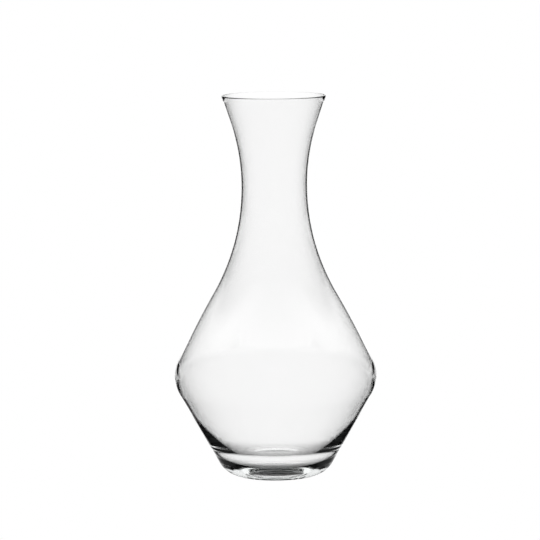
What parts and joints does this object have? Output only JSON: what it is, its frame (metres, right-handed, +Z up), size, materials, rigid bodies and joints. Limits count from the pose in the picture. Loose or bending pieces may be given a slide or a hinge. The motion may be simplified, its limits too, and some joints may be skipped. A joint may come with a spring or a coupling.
{
  "type": "wine decanter",
  "caption": "Clear glass wine decanter: flared mouth, slim neck, wide double-cone belly and a thick rounded base that stands on a narrow ring.",
  "frame": {"origin": "centre of the base, on the surface that the decanter stands on", "axes": "+Z up out of the mouth along the axis of revolution; X and Y are any two directions across it"},
  "size_m": [0.154, 0.154, 0.29],
  "materials": {
    "clear_glass": "clear, fire-polished, lead-free"
  },
  "bodies": {
    "root": {"glass_body": "clear_glass"}
  },
  "joints": []
}
